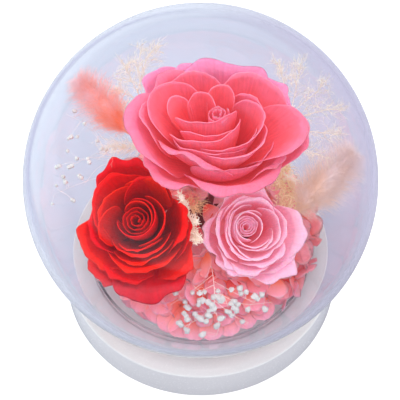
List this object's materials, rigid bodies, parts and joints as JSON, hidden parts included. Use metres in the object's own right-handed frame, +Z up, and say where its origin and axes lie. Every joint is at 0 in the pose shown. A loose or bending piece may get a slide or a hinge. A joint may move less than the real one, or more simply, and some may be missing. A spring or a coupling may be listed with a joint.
{
  "type": "preserved flowers in glass dome",
  "caption": "Preserved roses, hydrangea, dried grasses and fern fixed under a round blown glass dome whose short neck stands in the groove of a low round stand.",
  "frame": {"origin": "centre of the stand's underside", "axes": "+Z up, the side seen in the picture towards -Y"},
  "size_m": [0.15, 0.15, 0.1541],
  "materials": {
    "white_lacquer": "satin white lacquer",
    "clear_glass": "clear blown glass, polished",
    "flower_foam": "matt open foam",
    "rose_stem": "matt dyed stem",
    "coral_petal": "matt soft petal, coral pink",
    "red_petal": "matt soft petal, bright red",
    "pale_petal": "matt soft petal, pale pink",
    "hydrangea_floret": "matt thin floret, coral to pink",
    "breath_spray": "matt dried buds, off white",
    "bleached_fern": "matt bleached fern, cream",
    "grass_head": "soft hairy head, peach",
    "dried_sprig": "matt dried twig, cream",
    "strawflower": "papery bracts, coral"
  },
  "bodies": {
    "root": {"babys_breath_front": "breath_spray", "babys_breath_left": "breath_spray", "base": "white_lacquer", "bleached_fern_left": "bleached_fern", "bleached_fern_right": "bleached_fern", "bunny_tail_left": "grass_head", "bunny_tail_right": "grass_head", "dried_sprig": "dried_sprig", "flower_foam": "flower_foam", "glass_dome": "clear_glass", "hydrangea_back": "hydrangea_floret", "hydrangea_front": "hydrangea_floret", "hydrangea_right": "hydrangea_floret", "large_rose_heart": "coral_petal", "large_rose_petal_01": "coral_petal", "large_rose_petal_02": "coral_petal", "large_rose_petal_03": "coral_petal", "large_rose_petal_04": "coral_petal", "large_rose_petal_05": "coral_petal", "large_rose_petal_06": "coral_petal", "large_rose_petal_07": "coral_petal", "large_rose_petal_08": "coral_petal", "large_rose_petal_09": "coral_petal", "large_rose_petal_10": "coral_petal", "large_rose_petal_11": "coral_petal", "large_rose_petal_12": "coral_petal", "large_rose_petal_13": "coral_petal", "large_rose_petal_14": "coral_petal", "large_rose_petal_15": "coral_petal", "large_rose_petal_16": "coral_petal", "large_rose_petal_17": "coral_petal", "large_rose_petal_18": "coral_petal", "large_rose_petal_19": "coral_petal", "large_rose_stem": "rose_stem", "pale_rose_heart": "pale_petal", "pale_rose_petal_01": "pale_petal", "pale_rose_petal_02": "pale_petal", "pale_rose_petal_03": "pale_petal", "pale_rose_petal_04": "pale_petal", "pale_rose_petal_05": "pale_petal", "pale_rose_petal_06": "pale_petal", "pale_rose_petal_07": "pale_petal", "pale_rose_petal_08": "pale_petal", "pale_rose_petal_09": "pale_petal", "pale_rose_petal_10": "pale_petal", "pale_rose_stem": "rose_stem", "red_rose_heart": "red_petal", "red_rose_petal_01": "red_petal", "red_rose_petal_02": "red_petal", "red_rose_petal_03": "red_petal", "red_rose_petal_04": "red_petal", "red_rose_petal_05": "red_petal", "red_rose_petal_06": "red_petal", "red_rose_petal_07": "red_petal", "red_rose_petal_08": "red_petal", "red_rose_petal_09": "red_petal", "red_rose_petal_10": "red_petal", "red_rose_petal_11": "red_petal", "red_rose_stem": "rose_stem", "strawflower": "strawflower"}
  },
  "joints": []
}
